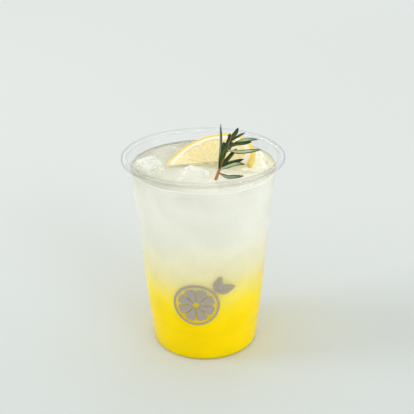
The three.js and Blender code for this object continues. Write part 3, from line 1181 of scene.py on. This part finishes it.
def needle_green(sprig):
    """Upper face of a rosemary needle: leathery dark green with a slight waxy shine, and lighter stripes
    along it that are painted highlights.
    """
    material, tree = new_material("leathery rosemary green")
    place = own_place(tree)
    patches = mottle(tree, place, 4 * MM, Detail=3.0)
    grain = mottle(tree, place, 0.3 * MM)
    light = reckoned(tree, "MULTIPLY", needle_tone(tree), patches)
    return surfaced(material, {
        "Base Color": mixed(tree, span(tree, light, 0.12, 0.6), linear("#0E1908"), tuple(sprig.green)),
        "Roughness": 0.5,
        "Specular IOR Level": 0.3,
        "Normal": bumped(tree, grain, 0.3, 0.05 * MM),
    })


def needle_felt(sprig):
    """Underside of a rosemary needle: pale grey-green felt of fine hairs."""
    material, tree = new_material("pale rosemary felt")
    hairs = mottle(tree, own_place(tree), 1.2 * MM, Detail=4.0)
    felt = mixed(tree, hairs, tuple(sprig.pale), linear("#7C9060"))
    return surfaced(material, {
        "Base Color": mixed(tree, needle_tone(tree), linear("#1C2A0C"), felt),
        "Roughness": 0.85,
        "Sheen Weight": 0.3,
        "Sheen Roughness": 0.5,
    })


def stem_bark(sprig):
    """Young rosemary stem: brown bark at its foot, dark green-brown towards the tip."""
    material, tree = new_material("young rosemary bark")
    place = own_place(tree)
    fibre = mottle(tree, place, 1 * MM, Detail=4.0)
    bark = mixed(tree, fibre, tuple(sprig.bark), linear("#6E4A12"))
    foot = sprig.foot[2]
    youth = span(tree, coordinate(tree, place, "Z"), foot + 3 * MM, foot + 13 * MM, 0.0, 0.75)
    return surfaced(material, {
        "Base Color": mixed(tree, youth, bark, linear("#4A3A1A")),
        "Roughness": 0.6,
        "Normal": bumped(tree, fibre, 0.5, 0.1 * MM),
    })


def needle_section():
    """Cross-section of a needle: a grooved upper face, rolled edges and an underside with a midrib. Each
    point is its place across and up, and whether it is on the felted part."""
    section = []
    count = 16
    for i in range(count):
        turn = math.tau * i / count
        across, up = math.cos(turn), math.sin(turn)
        if up >= 0:
            up -= 0.45 * math.exp(-(across / 0.28) ** 2)
        else:
            up = -0.85 * abs(up) ** 0.6 * (0.55 + 0.45 * across * across)
            up -= 0.35 * math.exp(-(across / 0.2) ** 2)
        section.append((across, up, turn >= math.pi and abs(across) < 0.8))
    return section


def needle_profile(share):
    """Half width of a needle from its base to its tip, as a share of its widest."""
    swell = min(1, 0.35 + 2.2 * share)
    if share < 0.6:
        return swell
    return max(0.12, swell * max(0, 1 - ((share - 0.6) / 0.4) ** 2.2) ** 0.75)


def needle_mesh(sprig, axes, needle, points, faces, under, tone):
    """Adds one needle to the lists: its points and faces, which faces are felted, and how light each
    point is."""
    at, size, lean, turn, roll, bow, felted = needle
    axis, side, back = axes
    size *= MM
    lean, turn, roll_angle = (math.radians(v) for v in (lean, turn, roll))
    out = side * math.cos(turn) + back * math.sin(turn)
    along = axis * math.cos(lean) + out * math.sin(lean)
    bow_way = (axis - along * axis.dot(along)).normalized()
    upper = Matrix.Rotation(roll_angle, 3, along) @ bow_way
    across = upper.cross(along)
    base = Vector(sprig.foot) + axis * at * MM
    section = needle_section()
    steps = 26
    faces.extend(tube_faces(steps, len(section), len(points)))
    felted_sides = [one[2] and other[2] for one, other in zip(section, section[1:] + section[:1])]
    under.extend(felted_sides * steps + [False, False])
    for i in range(steps + 1):
        share = i / steps
        wide = sprig.needle_width / 2 * needle_profile(share)
        thick = sprig.needle_thickness / 2 * max(needle_profile(share), 0.4)
        middle = base + along * share * size
        middle += bow_way * bow * size * 4 * share * (1 - share)
        middle += across * 0.25 * MM * math.sin(7 * share + turn)
        for x, y, _ in section:
            points.append(middle + across * x * wide + upper * y * thick)
            # Painted highlight: two lighter stripes along the upper face, fading towards the tip.
            painted_highlight_stripe = math.exp(-((abs(x) - 0.5) / 0.28) ** 2) * min(1, 3 * (1 - share) + 0.1)
            felt = felted * max(0, min(1, (0.85 - abs(x)) / 0.4)) * min(1, 2.8 * (1 - share))
            tone.append(felt if y < 0 else painted_highlight_stripe)


class YUZU_OT_rosemary_sprig(bpy.types.Operator):
    """Stands the sprig of rosemary between the ice"""

    bl_idname = "yuzu.rosemary_sprig"
    bl_label = "Rosemary sprig"

    def execute(self, context):
        sprig = context.scene.yuzu_soda.sprig
        axis = Vector(sprig.direction).normalized()
        side = (Vector((1, 0, 0)) - axis * axis.x).normalized()
        axes = (axis, side, axis.cross(side))
        self.grow_needles(sprig, axes)
        self.grow_stem(sprig, axes)
        return {"FINISHED"}

    def grow_needles(self, sprig, axes):
        """All needles as one piece, green above and felted below."""
        points, faces, under, tone = [], [], [], []
        for needle in NEEDLES:
            needle_mesh(sprig, axes, needle, points, faces, under, tone)
        needles = mesh_object("rosemary_needles", points, faces, [needle_green(sprig), needle_felt(sprig)])
        if len(needles.data.polygons) != len(under) or len(needles.data.vertices) != len(tone):
            raise RuntimeError("the needles lost faces, so their undersides can't be told")
        needles.data.polygons.foreach_set("material_index", [int(flag) for flag in under])
        tones = needles.data.attributes.new("needle_tone", "FLOAT", "POINT")
        tones.data.foreach_set("value", tone)
        dress(needles, "rosemary", "rosemary_sprig")

    def grow_stem(self, sprig, axes):
        """The stem, thinner towards its tip and a little knotty."""
        axis, side, back = axes
        steps, count, knots = 40, 16, 14
        foot = Vector(sprig.foot)
        points = []
        for i in range(steps + 1):
            share = i / steps
            along = -sprig.sunk + (sprig.visible + sprig.sunk) * share
            knot = 1 + 0.16 * noise.noise(Vector((0, 0, share * knots)))
            r = sprig.stem_radius * (1 - 0.4 * share) * knot
            for k in range(count):
                turn = math.tau * k / count
                points.append(foot + axis * along + side * r * math.cos(turn) + back * r * math.sin(turn))
        stem = mesh_object("rosemary_stem", points, tube_faces(steps, count), [stem_bark(sprig)])
        dress(stem, "rosemary", "rosemary_sprig")


# Stage: floor, light and camera


def pale_paper():
    """Matt paper under the cup: pale grey, painted a little lighter towards the back as painted light."""
    material, tree = new_material("matt pale paper floor")
    depth = coordinate(tree, own_place(tree), "Y")
    # Painted light: the paper is darker at the front and lighter towards the back.
    share = span(tree, depth, -0.1, 0.25, interpolation_type="SMOOTHSTEP")
    return surfaced(material, {
        "Base Color": mixed(tree, share, linear("#BEC3C1"), linear("#C7CBC9")),
        "Roughness": 0.8,
        "Specular IOR Level": 0.2,
    })


def add_world(scene):
    """Soft light from all round, a little stronger from above."""
    world = bpy.data.worlds.new("soft studio")
    scene.world = world
    world.use_nodes = True
    sky = world.node_tree
    direction = add_node(sky, "ShaderNodeTexCoord").outputs["Generated"]
    strength = span(sky, coordinate(sky, direction, "Z"), 0.0, 0.6, 0.92, 1.07)
    background = sky.nodes["Background"]
    background.inputs["Color"].default_value = linear("#FDFEFD")
    sky.links.new(strength, background.inputs["Strength"])


def add_softbox(scene, name, place, target, size, power, in_gloss):
    """A square softbox that faces the target."""
    light = bpy.data.lights.new(name, "AREA")
    light.size = size
    light.energy = power
    box = bpy.data.objects.new(name, light)
    box.location = place
    box.rotation_euler = (Vector(target) - Vector(place)).to_track_quat("-Z", "Y").to_euler()
    box.visible_glossy = in_gloss
    scene.collection.objects.link(box)


def add_camera(scene):
    """The camera, in front of the cup and looking down on it."""
    aside = Vector((1, 0, 0))
    forward = Vector((0, math.cos(CAMERA_ELEVATION), -math.sin(CAMERA_ELEVATION)))
    up = Vector((0, math.sin(CAMERA_ELEVATION), math.cos(CAMERA_ELEVATION)))
    right = aside * math.cos(CAMERA_ROLL) + up * math.sin(CAMERA_ROLL)
    top = up * math.cos(CAMERA_ROLL) - aside * math.sin(CAMERA_ROLL)
    camera_data = bpy.data.cameras.new("camera")
    camera_data.sensor_width = 36.0
    camera_data.lens = CAMERA_LENS
    camera_data.clip_start = 0.01
    camera = bpy.data.objects.new("camera", camera_data)
    rows = zip(right, top, -forward, CAMERA_TARGET - forward * CAMERA_DISTANCE)
    camera.matrix_world = Matrix([list(row) for row in rows] + [[0, 0, 0, 1]])
    scene.collection.objects.link(camera)
    scene.camera = camera


class YUZU_OT_stage(bpy.types.Operator):
    """Sets the plain floor, the soft light and the camera"""

    bl_idname = "yuzu.stage"
    bl_label = "Stage"

    def execute(self, context):
        scene = context.scene
        scene.view_settings.view_transform = "Standard"
        reach = 6.0
        corners = [(-reach, -reach, 0), (reach, -reach, 0), (reach, reach, 0), (-reach, reach, 0)]
        floor = mesh_object("floor", corners, [[0, 1, 2, 3]], [pale_paper()], smooth=False)
        add_world(scene)
        for softbox in SOFTBOXES:
            add_softbox(scene, *softbox)
        add_camera(scene)
        return {"FINISHED"}


class YUZU_PT_panel(bpy.types.Panel):
    """Lists the pieces of the cup of soda"""

    bl_idname = "YUZU_PT_panel"
    bl_label = "Yuzu soda"
    bl_space_type = "VIEW_3D"
    bl_region_type = "UI"
    bl_category = "Yuzu soda"

    def draw(self, context):
        for step in STEPS:
            self.layout.operator(step.bl_idname)
        settings = context.scene.yuzu_soda
        for group in ("cup", "drink", "ice", "citrus", "sprig"):
            box = self.layout.box()
            box.label(text=group.capitalize())
            part = getattr(settings, group)
            for name in part.__annotations__:
                box.prop(part, name)


STEPS = (
    YUZU_OT_stage,
    YUZU_OT_clear_cup,
    YUZU_OT_printed_sign,
    YUZU_OT_layered_drink,
    YUZU_OT_surface_ice,
    YUZU_OT_sunk_ice,
    YUZU_OT_pulp_and_bubbles,
    YUZU_OT_citrus_slice,
    YUZU_OT_rosemary_sprig,
)
CLASSES = (
    CupSizes, DrinkSizes, IceSizes, CitrusSizes, SprigSizes, YuzuSodaSettings, *STEPS, YUZU_PT_panel,
)


def register():
    for kind in CLASSES:
        bpy.utils.register_class(kind)
    bpy.types.Scene.yuzu_soda = bpy.props.PointerProperty(type=YuzuSodaSettings)


def unregister():
    del bpy.types.Scene.yuzu_soda
    for kind in reversed(CLASSES):
        bpy.utils.unregister_class(kind)


def main():
    register()
    for step in STEPS:
        group, name = step.bl_idname.split(".")
        getattr(getattr(bpy.ops, group), name)()


if __name__ == "__main__":
    main()
